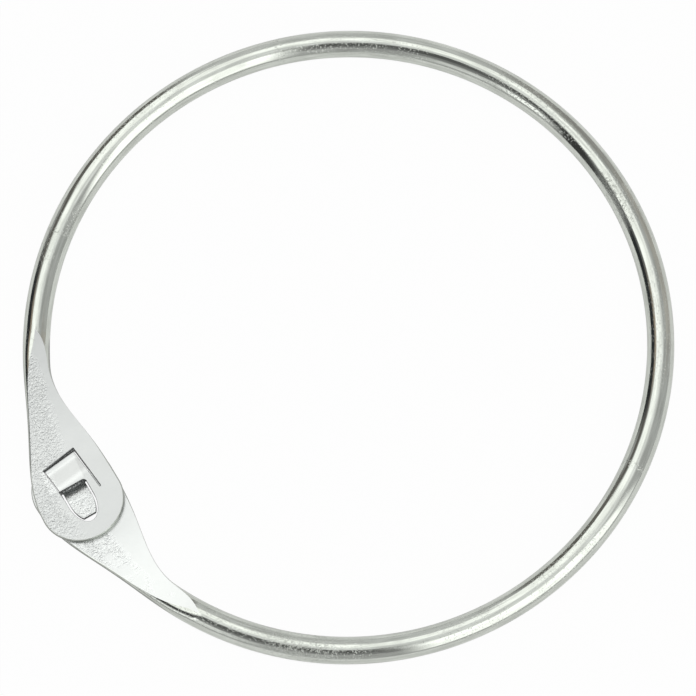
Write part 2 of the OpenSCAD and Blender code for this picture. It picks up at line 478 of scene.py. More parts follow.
@dataclass
class Leaf:
    """One end of the wire, coined into a leaf: taper, flat faces, round tip and cut-outs.

    It is made in the frame of the leaf with the window. The other leaf is the same blank
    turned half round about the Y axis.

    Args:
        sizes: the ring's sizes.
        side: which leaf it is.
        taper_steps: stations from the wire to where the leaf is flat.
        lap_steps: stations along the flat part.
        tip_steps: stations round half of the tip.
        nose_steps: steps round the nose of the window.
        end_steps: steps round each side of the tab's nose.
        corner_steps: steps round a corner of the window.
        slit_steps: steps round the end of a slit.
        cut_round: rounding on the edges of the cut-outs.
        inner_corner: radius of the corners where the slits meet the window and the gap.
        free_corner: radius of the tongue's free corners.
        gap_corner: radius of the corner of the gap at its wider end.
        tab_corner: radius of the corners at the tab's root.
        end_corner: radius of the corners of the tab's free edge.
        slot_corner: radius of the slot's corners.
        strip_back: how far the plan of a bent strip reaches back behind it.
        tongue_on: how far that plan runs on past the tongue's bend.
        tongue_room: how far it reaches beyond the tongue's sides.
        tab_room: how far it reaches beyond the tab's sides and end.
        sharp: turn of an outline, in degrees, from which its wall has a sharp edge.
        same: distance in millimetres under which two points in plan are one.
    """

    sizes: Sizes
    side: Side
    taper_steps: int = 72
    lap_steps: int = 24
    tip_steps: int = 28
    nose_steps: int = 40
    end_steps: int = 16
    corner_steps: int = 8
    slit_steps: int = 6
    cut_round: float = 0.035
    inner_corner: float = 0.05
    free_corner: float = 0.06
    gap_corner: float = 0.08
    tab_corner: float = 0.07
    end_corner: float = 0.08
    slot_corner: float = 0.12
    strip_back: float = 0.05
    tongue_on: float = 0.2
    tongue_room: float = 0.04
    tab_room: float = 0.08
    sharp: float = 28.0
    same: float = 1e-5

    def on_ring(self, s: float, off: float) -> Point:
        """Plan place at s along the wire and off outward of its middle line."""
        a = s / self.sizes.mid_r - math.pi / 2
        r = self.sizes.mid_r + off
        return r * math.cos(a), r * math.sin(a)

    def section(self, s: float, outer: bool) -> list[Place]:
        """One edge of the leaf at a station of the taper.

        Args:
            s: the station.
            outer: the ring's outer side, or its inner one.

        Returns:
            The points from the upper face to the lower one.
        """
        z = self.sizes
        along = (z.spread_len + s) / (z.spread_len + z.widest_x)
        fade = clamp(-s / z.flat_len)
        half_w = z.wire_r + (z.half_leaf - z.wire_r) * ease(along)
        shift = -z.lean_in * ease(along) - z.straighten * math.sin(math.pi * clamp(along)) ** 2
        rise = (max(0.0, -s - z.lap_seat) / (z.flat_len - z.lap_seat)) ** 2
        corner = math.pi / z.sides
        crown = z.wire_r * math.cos(corner)
        top = z.face_z + z.leaf_t
        high = top + (crown - top) * rise
        low = z.face_z - (crown + z.face_z) * rise
        deep = z.edge_round + (z.wire_r - z.edge_round) * fade**z.edge_fade
        bias = z.flat_bias * (1 - fade**z.bias_fade) * ease((-s - z.widest_x) / z.lap_seat)
        most = half_w - z.wire_r * math.sin(corner)
        deep = min(deep, most)
        deep = min(deep * (1 + bias), most) if outer else deep * (1 - bias)
        sign = 1.0 if outer else -1.0
        a = s / z.mid_r - math.pi / 2
        out = (sign * math.cos(a), sign * math.sin(a))
        return self.edge(self.on_ring(s, shift + sign * half_w), out, deep, high, low)

    def tip_section(self, q: float, outer: bool) -> list[Place]:
        """The leaf's edge at a place round its tip.

        Args:
            q: angle round the tip in radians, from its widest place.
            outer: the ring's outer side, or its inner one.

        Returns:
            The points from the upper face to the lower one.
        """
        z = self.sizes
        sign = -1.0 if outer else 1.0
        base = (
            z.widest_x + z.tip_l * math.sin(q),
            z.tip_y + sign * z.half_leaf * math.cos(q),
        )
        n = Vector((z.half_leaf * math.sin(q), sign * z.tip_l * math.cos(q))).normalized()
        return self.edge(base, (n.x, n.y), z.edge_round, z.face_z + z.leaf_t, z.face_z)

    def edge(self, base: Point, out: Point, deep: float, high: float, low: float) -> list[Place]:
        """An arc from the upper face to the lower one.

        Args:
            base: plan place of its widest point.
            out: outward direction.
            deep: how far the arc reaches in.
            high: height of the upper face.
            low: height of the lower face.

        Returns:
            The points from top to bottom.
        """
        half = (high - low) / 2
        bow = (half * half + deep * deep) / (2 * deep)
        sweep = math.atan2(half, bow - deep)
        made = []
        for k in range(self.sizes.edge_steps + 1):
            t = sweep * (1 - 2 * k / self.sizes.edge_steps)
            d = bow * math.cos(t) - bow
            height = (high + low) / 2 + bow * math.sin(t)
            made.append((base[0] + out[0] * d, base[1] + out[1] * d, height))
        return made

    def bends(self) -> list[Bend]:
        """The strip that this leaf bends out of its plane: the tongue or the tab.

        Returns:
            That strip, in a list.
        """
        z, back = self.sizes, -self.strip_back
        if self.side is Side.WINDOW:
            h, far = z.tongue_w / 2, z.bend_end + self.tongue_on
            wide = h + self.tongue_room
            return [
                Bend(
                    origin=(-z.tongue_edge, z.tip_y),
                    turn=z.tongue_skew,
                    half=h,
                    outline=[(back, -wide), (far, -wide), (far, wide), (back, wide)],
                    run=(z.tongue_land, z.bend_end),
                    base=-z.tongue_dip,
                    lift=z.tongue_dip,
                    soft=z.tongue_soft,
                )
            ]
        h, room = z.window_w / 2 - z.tab_play, self.tab_room
        front = z.window_end - z.window_nose - z.tab_root
        deep = z.window_nose - z.tab_play + room
        nose = arc((front, 0), deep, h + room, -90, 90, self.nose_steps)
        far = z.window_end - z.tab_end_play - z.tab_root + room
        tip = [(min(u, far), v) for u, v in nose]
        return [
            Bend(
                origin=(-z.tab_root, z.tip_y),
                turn=180.0,
                half=h,
                outline=[(back, -h - room)] + tip + [(back, h + room)],
                run=(0.0, z.tab_ramp),
                base=0.0,
                lift=-z.leaf_t - z.leaf_gap,
                soft=z.tab_soft,
            )
        ]

    def tongue_cut(self) -> list[Point]:
        """The window, the slits beside the tongue and the gap before its free edge.

        Returns:
            One outline round them all.
        """
        z = self.sizes
        bend = self.bends()[0]
        h, w, g = z.tongue_w / 2, z.slit_w, z.slit_w / 2
        top, y = z.window_w / 2, z.tip_y
        skew = math.radians(z.tongue_skew)
        stops = bend.stops()
        free, back = -z.window_back, z.window_corner
        corner_u = (free + z.tongue_edge - h * math.sin(skew)) / math.cos(skew)
        join_u = ((h + g) * math.cos(skew) - top) / math.sin(skew)
        front = (z.window_end - z.window_nose, y)
        window = arc(front, z.window_nose, top, -90, 90, self.nose_steps)
        window += arc((free + back, y + top - back), back, back, 90, 180, self.corner_steps)

        def spot(u: float, v: float, r: float = 0.0) -> Place:
            """A corner along and across the tongue, with its radius."""
            return (*bend.to_plan(u, v), r)

        tongue = [spot(corner_u, -h, self.inner_corner)]
        tongue += [spot(u, -h) for u in reversed(stops)]
        tongue += [spot(0, -h, self.free_corner), spot(0, h, self.free_corner)]
        tongue += [spot(u, h) for u in stops]
        end = arc((z.slit_l, h + w / 2), w / 2, w / 2, -90, 90, self.slit_steps)
        leaf_side = [spot(u, v) for u, v in end]
        leaf_side.append(spot(-z.tongue_gap, h + w, self.gap_corner))
        leaf_side.append(spot(-g, -h - g, self.inner_corner))
        leaf_side.append(spot(join_u, -h - g))
        return softened(pointed(window) + tongue + leaf_side)

    def tab_cut(self) -> list[Point]:
        """The opening round the tab.

        Returns:
            One outline, with the tab left standing in it.
        """
        z = self.sizes
        y, top, play = z.tip_y, z.window_w / 2, z.tab_play
        front = z.window_end - z.window_nose
        end = z.window_end - z.tab_end_play
        outer = arc((front, y), z.window_nose, top, 90, -90, self.nose_steps)
        nose, h = z.window_nose - play, top - play
        lean = math.degrees(math.asin((end - front) / nose))
        side = [z.tab_root + u for u in self.bends()[0].stops() if u > 0]
        under = arc((front, y), nose, h, -90, lean - 90, self.end_steps)
        over = arc((front, y), nose, h, 90 - lean, 90, self.end_steps)
        below, above = (
            [(z.tab_root, y + v, self.tab_corner) for v in pair] for pair in ((-top, -h), (h, top))
        )
        outline = (
            above[1:]
            + pointed(outer)
            + below
            + pointed([(x, y - h) for x in side] + under[:-1])
            + [(*under[-1], self.end_corner), (*over[0], self.end_corner)]
            + pointed(over[1:] + [(x, y + h) for x in reversed(side)])
            + above[:1]
        )
        return [(-px, py) for px, py in softened(outline)]

    def slot_cut(self) -> list[Point]:
        """The slot that takes the tongue, under it and clear of it all round.

        Returns:
            Its outline.
        """
        z, r = self.sizes, self.slot_corner
        h, play = z.tongue_w / 2 + z.slot_play, z.slot_play
        far = z.slot_reach + play
        skew = math.radians(z.tongue_skew)
        c, s = math.cos(skew), math.sin(skew)
        corners = [
            (u * c - v * s - z.tongue_edge, u * s + v * c + z.tip_y, r)
            for u, v in ((-play, -h), (far, -h), (far, h), (-play, h))
        ]
        return [(-px, py) for px, py in softened(corners)]

    def cuts(self) -> list[list[Point]]:
        """Every cut-out of the leaf."""
        if self.side is Side.WINDOW:
            return [self.tongue_cut()]
        return [self.tab_cut(), self.slot_cut()]

    def build(self, heap: Heap) -> None:
        """Adds the leaf to a mesh.

        Args:
            heap: the mesh.
        """
        z = self.sizes
        face = Finish.WINDOW_FACE if self.side is Side.WINDOW else Finish.TAB_FACE
        first = len(heap.points)
        stations = [
            -z.flat_len + (z.flat_len - z.lap_seat) * k / self.taper_steps
            for k in range(self.taper_steps + 1)
        ] + [-z.lap_seat * (1 - k / self.lap_steps) for k in range(1, self.lap_steps + 1)]
        turns = [math.pi / 2 * k / self.tip_steps for k in range(self.tip_steps + 1)]
        sides = []
        for outer in (True, False):
            rows = [self.section(s, outer) for s in stations]
            rows += [self.tip_section(q, outer) for q in turns]
            sides.append([heap.add(row) for row in rows[:-1]])
            nose = rows[-1]
        last = heap.add(nose)
        path = sides[0] + [last] + sides[1][::-1]
        for one, two in zip(path, path[1:]):
            heap.strip(one, two, Finish.WIRE, False)
        # The outline's points carry the painted shade along the leaf's edge
        for row in path:
            heap.mark_rim(row)
        tops, lows = [row[0] for row in path], [row[-1] for row in path]
        heap.crease(tops, False)
        heap.crease(lows, False)
        count, taper = len(path), self.taper_steps
        for k in range(taper):
            a, b = k, count - 1 - k
            heap.face((tops[a], tops[a + 1], tops[b - 1], tops[b]), face)
            heap.face((lows[a], lows[b], lows[b - 1], lows[a + 1]), face)
        self.sheet(heap, tops[taper : count - taper], lows[taper : count - taper], face)
        if self.side is Side.TAB:
            for i in range(first, len(heap.points)):
                x, y, h = heap.points[i]
                heap.points[i] = (-x, y, -h)

    def bent(self, bends: list[Bend], x: float, y: float, t: float) -> Place:
        """Place of a point of the sheet, bent if it lies on a strip.

        Args:
            bends: the strips that are bent out of the leaf.
            x: plan place before the bend.
            y: plan place before the bend.
            t: height over the sheet's middle plane.

        Returns:
            The point, with its height over the ring's middle plane.
        """
        strip = next((b for b in bends if b.carries(x, y)), None)
        x, y, t = strip.place(x, y, t) if strip else (x, y, t)
        return x, y, self.sizes.face_z + self.sizes.leaf_t / 2 + t

    def sheet(self, heap: Heap, tops: list[int], lows: list[int], face: Finish) -> None:
        """Fills the flat part of the leaf between its edges and round its cut-outs.

        Args:
            heap: where the faces go.
            tops: the upper points round the flat part.
            lows: the lower points, in the same order.
            face: the finish of the two faces.
        """
        z = self.sizes
        half, r = z.leaf_t / 2, self.cut_round
        bends = self.bends()
        rim = [heap.points[i][:2] for i in tops]
        plan, upper, lower = list(rim), list(tops), list(lows)
        edges = [(k, (k + 1) % len(rim)) for k in range(len(rim))]
        holes = []
        rest = 1 - math.sqrt(0.5)
        for outline in self.cuts():
            wide, near = grown(outline, r), grown(outline, r * rest)
            down = ((wide, half), (near, half - r * rest), (outline, half - r))
            up = tuple((loop, -t) for loop, t in reversed(down))
            ids = [
                heap.add([self.bent(bends, x, y, t) for x, y in loop]) for loop, t in down + up
            ]
            for one, two in zip(ids, ids[1:]):
                heap.strip(one, two, Finish.CUT, True)
            heap.crease(ids[0], True)
            heap.crease(ids[-1], True)
            self.crease_corners(heap, outline, ids)
            first, count = len(plan), len(wide)
            edges += [(first + k, first + (k + 1) % count) for k in range(count)]
            plan += wide
            upper += ids[0]
            lower += ids[-1]
            holes.append(wide)
        known = len(plan)
        for bend in bends:
            for u in bend.stops():
                ends = [bend.to_plan(u, v) for v in (r - bend.half, bend.half - r)]
                near = [min(range(known), key=lambda i: math.dist(plan[i], e)) for e in ends]
                if all(math.dist(plan[i], e) < r / 2 for i, e in zip(near, ends)):
                    edges.append((near[0], near[1]))
        flat = [Vector((x, y - z.tip_y)) for x, y in plan]
        verts, _, tris, came, _, _ = delaunay_2d_cdt(flat, edges, [], 0, self.same, True)
        numbers = []
        for v, source in zip(verts, came):
            own = [i for i in source if i < known]
            if own:
                numbers.append((upper[own[0]], lower[own[0]]))
                continue
            pair = [self.bent(bends, v.x, v.y + z.tip_y, t) for t in (half, -half)]
            numbers.append(tuple(heap.add(pair)))
        for tri in tris:
            x = sum(verts[i].x for i in tri) / 3
            y = sum(verts[i].y for i in tri) / 3 + z.tip_y
            if not inside(x, y, rim) or any(inside(x, y, hole) for hole in holes):
                continue
            heap.face(tuple(numbers[i][0] for i in tri), face)
            heap.face(tuple(numbers[i][1] for i in reversed(tri)), face)

    def crease_corners(self, heap: Heap, outline: list[Point], ids: list[list[int]]) -> None:
        """Keeps the walls of a cut-out sharp where its outline turns a corner.

        Args:
            heap: the mesh.
            outline: the cut-out.
            ids: the rows of points down its wall.
        """
        count = len(outline)
        for k in range(count):
            a, b, c = (Vector(outline[(k + d) % count]) for d in (-1, 0, 1))
            if (b - a).angle(c - b) > math.radians(self.sharp):
                for one, two in zip(ids, ids[1:]):
                    heap.crisp.add(frozenset((one[k], two[k])))


@dataclass(frozen=True)
class WireSpan:
    """The plain round wire, from one leaf round to the other.

    Args:
        sizes: the ring's sizes.
        steps: number of steps along the wire.
    """

    sizes: Sizes
    steps: int = 288

    def tree(self) -> bpy.types.GeometryNodeTree:
        """Builds the node tree that sweeps a circle along an arc.

        Returns:
            The tree.
        """
        tree = bpy.data.node_groups.new("wire_span", "GeometryNodeTree")
        tree.interface.new_socket("Wire", in_out="OUTPUT", socket_type="NodeSocketGeometry")
        for kind, names in (
            ("NodeSocketFloat", ("Ring Radius", "Wire Radius", "Start", "Sweep")),
            ("NodeSocketInt", ("Points", "Sides")),
            ("NodeSocketMaterial", ("Finish",)),
        ):
            for name in names:
                tree.interface.new_socket(name, in_out="INPUT", socket_type=kind)
        bench = Bench(tree)
        given = bench.node("NodeGroupInput").outputs
        path = bench.node(
            "GeometryNodeCurveArc",
            {"mode": "RADIUS"},
            {
                "Resolution": given["Points"],
                "Radius": given["Ring Radius"],
                "Start Angle": given["Start"],
                "Sweep Angle": given["Sweep"],
            },
        )
        upright = bench.node(
            "GeometryNodeSetCurveNormal", {"mode": "Z_UP"}, {"Curve": path.outputs["Curve"]}
        )
        ring = bench.node(
            "GeometryNodeCurvePrimitiveCircle",
            {"mode": "RADIUS"},
            {"Resolution": given["Sides"], "Radius": given["Wire Radius"]},
        )
        swept = bench.node(
            "GeometryNodeCurveToMesh",
            {},
            {"Curve": upright.outputs["Curve"], "Profile Curve": ring.outputs["Curve"]},
        )
        real = bench.node(
            "GeometryNodeRealizeInstances", {}, {"Geometry": swept.outputs["Mesh"]}
        )
        done = bench.node(
            "GeometryNodeSetMaterial",
            {},
            {"Geometry": real.outputs["Geometry"], "Material": given["Finish"]},
        )
        bench.node("NodeGroupOutput", {}, {"Wire": done.outputs["Geometry"]})
        return tree

    def build(self, finish: bpy.types.Material) -> bpy.types.Mesh:
        """Sweeps the wire.

        Args:
            finish: its material.

        Returns:
            An open tube in metres, without its modifier.
        """
        z = self.sizes
        lap = z.flat_len / z.mid_r
        blank = put("wire_span", bpy.data.meshes.new("wire_span"))
        tree = self.tree()
        swept = blank.modifiers.new("sweep", "NODES")
        swept.node_group = tree
        values = {
            "Ring Radius": z.mid_r * MM,
            "Wire Radius": z.wire_r * MM,
            "Start": lap - math.pi / 2,
            "Sweep": 2 * (math.pi - lap),
            "Points": self.steps + 1,
            "Sides": z.sides,
            "Finish": finish,
        }
        for item in tree.interface.items_tree:
            if item.in_out == "INPUT":
                swept[item.identifier] = values[item.name]
        blank.update_tag()
        graph = bpy.context.evaluated_depsgraph_get()
        mesh = bpy.data.meshes.new_from_object(blank.evaluated_get(graph), depsgraph=graph)
        bpy.data.objects.remove(blank)
        bpy.data.node_groups.remove(tree)
        return mesh


@dataclass
class KeyRing:
    """The whole ring: one wire whose two ends are leaves, in one closed mesh.

    Args:
        sizes: the ring's sizes.
        finishes: the material of each finish.
        reach: how far a leaf's root point may lie off the wire's end, in millimetres.
    """

    sizes: Sizes
    finishes: dict[Finish, bpy.types.Material]
    reach: float = 0.06

    def build(self) -> bpy.types.Object:
        """Joins the wire and its leaves.

        Returns:
            The ring as one object at the origin.
        """
        heap = Heap()
        for side in Side:
            Leaf(self.sizes, side).build(heap)
        body = bmesh.new()
        rim = body.verts.layers.float.new("rim")
        points = [body.verts.new(Vector(p) * MM) for p in heap.points]
        for corners, finish in zip(heap.faces, heap.finishes):
            body.faces.new([points[i] for i in corners]).material_index = finish.value
        for one, two in heap.crisp:
            edge = body.edges.get((points[one], points[two]))
            if edge:
                edge.smooth = False
        leaves = len(body.verts)
        # The rim mark sets where painted shade darkens the leaves' outlines
        for i, share in heap.rims.items():
            points[i][rim] = share
        body.from_mesh(WireSpan(self.sizes).build(self.finishes[Finish.WIRE]))
        body.verts.ensure_lookup_table()
        self.seat_wire(body, leaves)
        for face in body.faces:
            face.smooth = True
        bmesh.ops.recalc_face_normals(body, faces=body.faces)
        if body.calc_volume(signed=True) < 0:
            bmesh.ops.reverse_faces(body, faces=body.faces)
        self.report(body)
        mesh = bpy.data.meshes.new("key_ring_wire")
        body.to_mesh(mesh)
        body.free()
        for finish in Finish:
            mesh.materials.append(self.finishes[finish])
        return put("key_ring_wire", mesh)

    def seat_wire(self, body: bmesh.types.BMesh, leaves: int) -> None:
        """Closes the joints between the wire's two ends and the roots of the leaves.

        Args:
            body: the mesh of the leaves with the wire after them.
            leaves: number of points that belong to the leaves.
        """
        ends = [v for v in body.verts[leaves:] if any(e.is_boundary for e in v.link_edges)]
        tree = KDTree(len(ends))
        for i, v in enumerate(ends):
            tree.insert(v.co, i)
        tree.balance()
        pairs = {}
        for v in body.verts[:leaves]:
            if any(e.is_boundary for e in v.link_edges):
                _, i, gap = tree.find(v.co)
                if gap > self.reach * MM:
                    raise ValueError(f"a root point lies {gap / MM:.3f} mm off the wire")
                pairs[ends[i]] = v
        bmesh.ops.weld_verts(body, targetmap=pairs)

    def report(self, body: bmesh.types.BMesh) -> None:
        """Logs the mesh's size and stops the script if it isn't closed.

        Args:
            body: the whole mesh.
        """
        loose = sum(not e.is_manifold for e in body.edges)
        volume = body.calc_volume() / MM**3
        log.info("ring: %d faces, %.1f mm3, %d open edges", len(body.faces), volume, loose)
        if loose:
            raise ValueError("the ring's mesh isn't closed")


@dataclass(frozen=True)
class Grain:
    """Noise of one size.

    Args:
        scale: its waves to a millimetre.
        detail: how many finer layers it has.
        rough: how strong they are.
        span: the levels that become 0 and 1, if it is made crisper.
    """

    scale: float
    detail: float = 2.0
    rough: float = 0.5
    span: Point | None = None


class Bench:
    """Sets up nodes in one tree."""

    def __init__(self, tree: bpy.types.NodeTree) -> None:
        """Starts on an empty tree.

        Args:
            tree: the tree to fill.
        """
        self.tree = tree
        tree.nodes.clear()

    def node(
        self, kind: str, settings: dict | None = None, inputs: dict | None = None
    ) -> bpy.types.Node:
        """Adds one node.

        Args:
            kind: its type.
            settings: its own settings, such as a Math node's operation, which are set first.
            inputs: a value, a socket or a signal for each input, by name or number.

        Returns:
            The node.
        """
        made = self.tree.nodes.new(kind)
        for name, value in (settings or {}).items():
            setattr(made, name, value)
        for name, value in (inputs or {}).items():
            socket = made.inputs[name]
            if isinstance(value, Signal):
                value = value.socket
            if isinstance(value, bpy.types.NodeSocket):
                self.tree.links.new(value, socket)
            else:
                socket.default_value = value
        return made

    def signal(self, socket: bpy.types.NodeSocket) -> "Signal":
        """Wraps a socket, so that Python's operators work on it."""
        return Signal(self, socket)

    def noise(self, at: "Signal", grain: Grain) -> "Signal":
        """Noise from 0 to 1.

        Args:
            at: where, in millimetres.
            grain: what it is like.

        Returns:
            The noise.
        """
        made = self.node(
            "ShaderNodeTexNoise",
            {},
            {
                "Vector": at,
                "Scale": grain.scale,
                "Detail": grain.detail,
                "Roughness": grain.rough,
            },
        )
        level = self.signal(made.outputs["Fac"])
        return level.ramp(*grain.span) if grain.span else level

    def cells(self, at: "Signal", scale: float) -> "Signal":
        """Distance to the nearest of scattered points, from a place in millimetres."""
        made = self.node("ShaderNodeTexVoronoi", {}, {"Vector": at, "Scale": scale})
        return self.signal(made.outputs["Distance"])

    def vector(self, x: "Signal", y: "Signal", z: "Signal") -> "Signal":
        """A vector of three signals."""
        made = self.node("ShaderNodeCombineXYZ", {}, {0: x, 1: y, 2: z})
        return self.signal(made.outputs["Vector"])

    def colour(self, share: "Signal", low: "Signal | Colour", high: Colour) -> "Signal":
        """Mixes two colours.

        Args:
            share: the second one's share.
            low: the first colour.
            high: the second colour.

        Returns:
            The mixed colour.
        """
        first = low if isinstance(low, Signal) else (*low, 1.0)
        made = self.node(
            "ShaderNodeMix", {"data_type": "RGBA"}, {"Factor": share, 6: first, 7: (*high, 1.0)}
        )
        return self.signal(made.outputs[2])


class Signal:
    """A number or vector on its way through a shader. An expression adds Math nodes."""

    def __init__(self, bench: Bench, socket: bpy.types.NodeSocket) -> None:
        """Wraps a socket of a node on the bench."""
        self.bench = bench
        self.socket = socket

    def math(self, operation: str, *others: "Signal | float") -> "Signal":
        """Adds one Math node.

        Args:
            operation: what it does.
            others: its second and third inputs.

        Returns:
            Its output.
        """
        given = dict(enumerate((self, *others)))
        made = self.bench.node("ShaderNodeMath", {"operation": operation}, given)
        return self.bench.signal(made.outputs[0])

    def part(self, axis: str) -> "Signal":
        """One part of a vector: X, Y or Z."""
        made = self.bench.node("ShaderNodeSeparateXYZ", {}, {0: self})
        return self.bench.signal(made.outputs[axis])

    def vector_math(self, operation: str, socket: int | str, value: "Signal | Place") -> "Signal":
        """Adds one Vector Math node to a colour or vector.

        Args:
            operation: what it does.
            socket: its second input, by number or name.
            value: what goes in there.

        Returns:
            Its output.
        """
        made = self.bench.node(
            "ShaderNodeVectorMath", {"operation": operation}, {0: self, socket: value}
        )
        return self.bench.signal(made.outputs[0])

    def times(self, by: Place) -> "Signal":
        """A vector scaled along each axis."""
        return self.vector_math("MULTIPLY", 1, by)

    def scaled(self, by: "Signal") -> "Signal":
        """This colour or vector times a number."""
        return self.vector_math("SCALE", "Scale", by)

    def ramp(self, low: float, high: float) -> "Signal":
        """Rises from 0 to 1 with soft ends.

        Args:
            low: where it is 0.
            high: where it is 1, above or below that.

        Returns:
            The ramp.
        """
        made = self.bench.node(
            "ShaderNodeMapRange",
            {"interpolation_type": "SMOOTHSTEP"},
            {"Value": self, "From Min": low, "From Max": high},
        )
        return self.bench.signal(made.outputs["Result"])

    def __add__(self, other: "Signal | float") -> "Signal":
        """This plus another."""
        return self.math("ADD", other)

    def __sub__(self, other: "Signal | float") -> "Signal":
        """This less another."""
        return self.math("SUBTRACT", other)

    def __rsub__(self, other: float) -> "Signal":
        """A number less this."""
        return (self * -1.0) + other

    def __mul__(self, other: "Signal | float") -> "Signal":
        """This times another."""
        return self.math("MULTIPLY", other)

    def __or__(self, other: "Signal | float") -> "Signal":
        """The larger of the two."""
        return self.math("MAXIMUM", other)

    def __abs__(self) -> "Signal":
        """This without its sign."""
        return self.math("ABSOLUTE")

    __radd__ = __add__
    __rmul__ = __mul__
    __ror__ = __or__


@dataclass(frozen=True)
class Spot:
    """A patch on a leaf with soft edges.

    Args:
        x: its middle, half length and soft edge along X, in millimetres.
        off: its middle, half width and soft edge outward of the ring's middle line.
    """

    x: Place
    off: Place


class Plating:
    """What the ring's finishes share: a metal shader with a relief, on Object coordinates.

    Its places on the ring are at (a vector), x and z, off (outward of the ring's middle
    line) and along (along it from the latch), in millimetres, and bearing, in degrees.
    Of its brightness, the outermost edge of a leaf lacks a share: painted shade that draws a dark
    line round each leaf's outline.
    """

    # Painted shade: the share of brightness taken off a leaf's outermost edge
    painted_rim_shade: float = 0.72

    def __init__(self, name: str) -> None:
        """Starts a material and works out places on the ring.

        Args:
            name: its name.
        """
        self.material = bpy.data.materials.new(name)
        self.material.use_nodes = True
        self.bench = Bench(self.material.node_tree)
        where = self.bench.node("ShaderNodeTexCoord").outputs["Object"]
        self.at = self.bench.signal(where).times((1 / MM,) * 3)
        self.x, y, self.z = (self.at.part(axis) for axis in "XYZ")
        mid_r = Sizes().mid_r
        self.off = (self.x * self.x + y * y).math("SQRT") - mid_r
        self.bearing = y.math("ARCTAN2", self.x) * math.degrees(1)
        self.along = self.x.math("ARCTAN2", y * -1.0) * mid_r

    def patch(self, of: Signal, middle: float, half: float, soft: float) -> Signal:
        """A band that is 1 within half of a middle and falls to 0 over soft.

        Args:
            of: what the band is laid on.
            middle: where its middle is.
            half: half its width.
            soft: width of its soft edge.

        Returns:
            The band.
        """
        return abs(of - middle).ramp(half + soft, half)

    def spot(self, spot: Spot) -> Signal:
        """A patch on a leaf, from 0 to 1."""
        return self.patch(self.x, *spot.x) * self.patch(self.off, *spot.off)

    def dress(
        self, colour: Signal, rough: Signal, height: Signal, depth: float
    ) -> bpy.types.Material:
        """Finishes the material.

        Args:
            colour: the metal's colour.
            rough: its roughness.
            height: the relief, in shares of its depth.
            depth: the relief's height in millimetres.

        Returns:
            The material.
        """
        relief = {"Height": height * (depth * MM), "Distance": 1.0, "Strength": 1.0}
        bump = self.bench.node("ShaderNodeBump", {}, relief)
        # Painted shade: the colour is darkened along the leaves' outermost edges
        rim = self.bench.node("ShaderNodeAttribute", {"attribute_name": "rim"}).outputs["Fac"]
        shade = 1 - self.bench.signal(rim) * self.painted_rim_shade
        metal = self.bench.node(
            "ShaderNodeBsdfPrincipled",
            {},
            {
                "Base Color": colour.scaled(shade),
                "Metallic": 1.0,
                "Roughness": rough,
                "Normal": bump.outputs["Normal"],
            },
        )
        self.bench.node("ShaderNodeOutputMaterial", {}, {"Surface": metal.outputs["BSDF"]})
        return self.material


@dataclass(frozen=True)
class BrightWire:
    """Bright plating over drawn wire: fine lines along it, speckle and a few scuffs.

    Args:
        bright: colour of clean plating.
        worn: colour where it is a little dull.
        smooth: its roughness where clean.
        rough: its roughness where dull.
        scuffs: bearing and half width in degrees of each scuffed stretch.
        fine: how many drawn lines there are to a millimetre.
        long: how many breaks a drawn line has to a millimetre of wire.
        lines: noise of the drawn lines.
        speckle: noise of the plating's grain.
        cloud: noise of the duller stretches.
        rubbed: noise of the stretches that hold pits.
        pits: noise of the pits.
        marks: noise within a scuff.
        edge: where a scuff begins and where it is full, by its half width.
        scuffed: roughness that a scuff adds.
        depth: height of the relief in millimetres.
    """

    bright: Colour = (0.785, 0.82, 0.765)
    worn: Colour = (0.56, 0.585, 0.54)
    smooth: float = 0.08
    rough: float = 0.17
    scuffs: tuple[Point, ...] = (
        (163.0, 0.7),
        (88.0, 5.0),
        (-38.5, 6.0),
        (35.3, 0.6),
        (218.9, 0.4),
    )
    fine: float = 2.6
    long: float = 0.2
    lines: Grain = Grain(1.0, 3.0, 0.65)
    speckle: Grain = Grain(4.5, 3.0, 0.7)
    cloud: Grain = Grain(0.3, span=(0.42, 0.68))
    rubbed: Grain = Grain(0.09, span=(0.46, 0.56))
    pits: Grain = Grain(4.0, 2.0, 0.6, (0.56, 0.68))
    marks: Grain = Grain(2.6, 4.0, 0.75, (0.52, 0.62))
    edge: Point = (1.5, 0.6)
    scuffed: float = 0.15
    depth: float = 0.006

    def make(self) -> bpy.types.Material:
        """Builds the material.

        Returns:
            The material.
        """
        coat = Plating("bright_wire")
        bench = coat.bench
        drawn = bench.vector(coat.along * self.long, coat.off * self.fine, coat.z * self.fine)
        lines = bench.noise(drawn, self.lines)
        speckle = bench.noise(coat.at, self.speckle)
        cloud = bench.noise(coat.at, self.cloud)
        pits = bench.noise(coat.at, self.pits) * bench.noise(coat.at, self.rubbed)
        stretches = []
        for bearing, half in self.scuffs:
            away = (coat.bearing - bearing).math("PINGPONG", 180.0)
            stretches.append(away.ramp(*(half * share for share in self.edge)))
        worn = reduce(or_, stretches) * bench.noise(coat.at, self.marks)
        # The share of each in the relief, and in the dullness of the colour
        height = lines * 0.6 + speckle * 0.3 - worn * 1.4 - pits * 1.5
        rough = cloud * (self.rough - self.smooth) + worn * self.scuffed + self.smooth
        dull = lines.ramp(0.35, 0.65) * 0.6 + cloud * 0.2 + worn * 0.4
        colour = bench.colour(dull.math("MINIMUM", 1.0), self.bright, self.worn)
        return coat.dress(colour, rough, height, self.depth)


